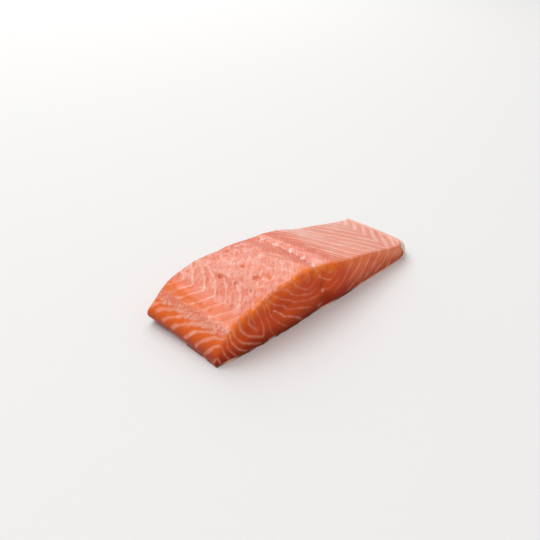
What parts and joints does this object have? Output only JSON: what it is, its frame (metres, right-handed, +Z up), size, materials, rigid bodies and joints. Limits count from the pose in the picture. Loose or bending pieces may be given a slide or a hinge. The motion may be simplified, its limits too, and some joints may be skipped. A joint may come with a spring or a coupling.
{
  "type": "salmon fillet",
  "caption": "Thick raw piece of salmon fillet with its skin on, cut square on both sides, high at the back and tapering to a thin belly edge.",
  "frame": {"origin": "middle of the underside of the whole piece, on the surface it lies on", "axes": "+X along the length, from the thick back end to the thin belly end; +Y from the near cut face to the far one; +Z up, out of the flesh side"},
  "size_m": [0.195, 0.0638, 0.0324],
  "materials": {
    "flesh": "moist raw orange-pink flesh with fine white lines",
    "skin": "wet silver-grey fish skin"
  },
  "bodies": {
    "root": {"salmon_flesh": "flesh", "salmon_skin": "skin"}
  },
  "joints": []
}
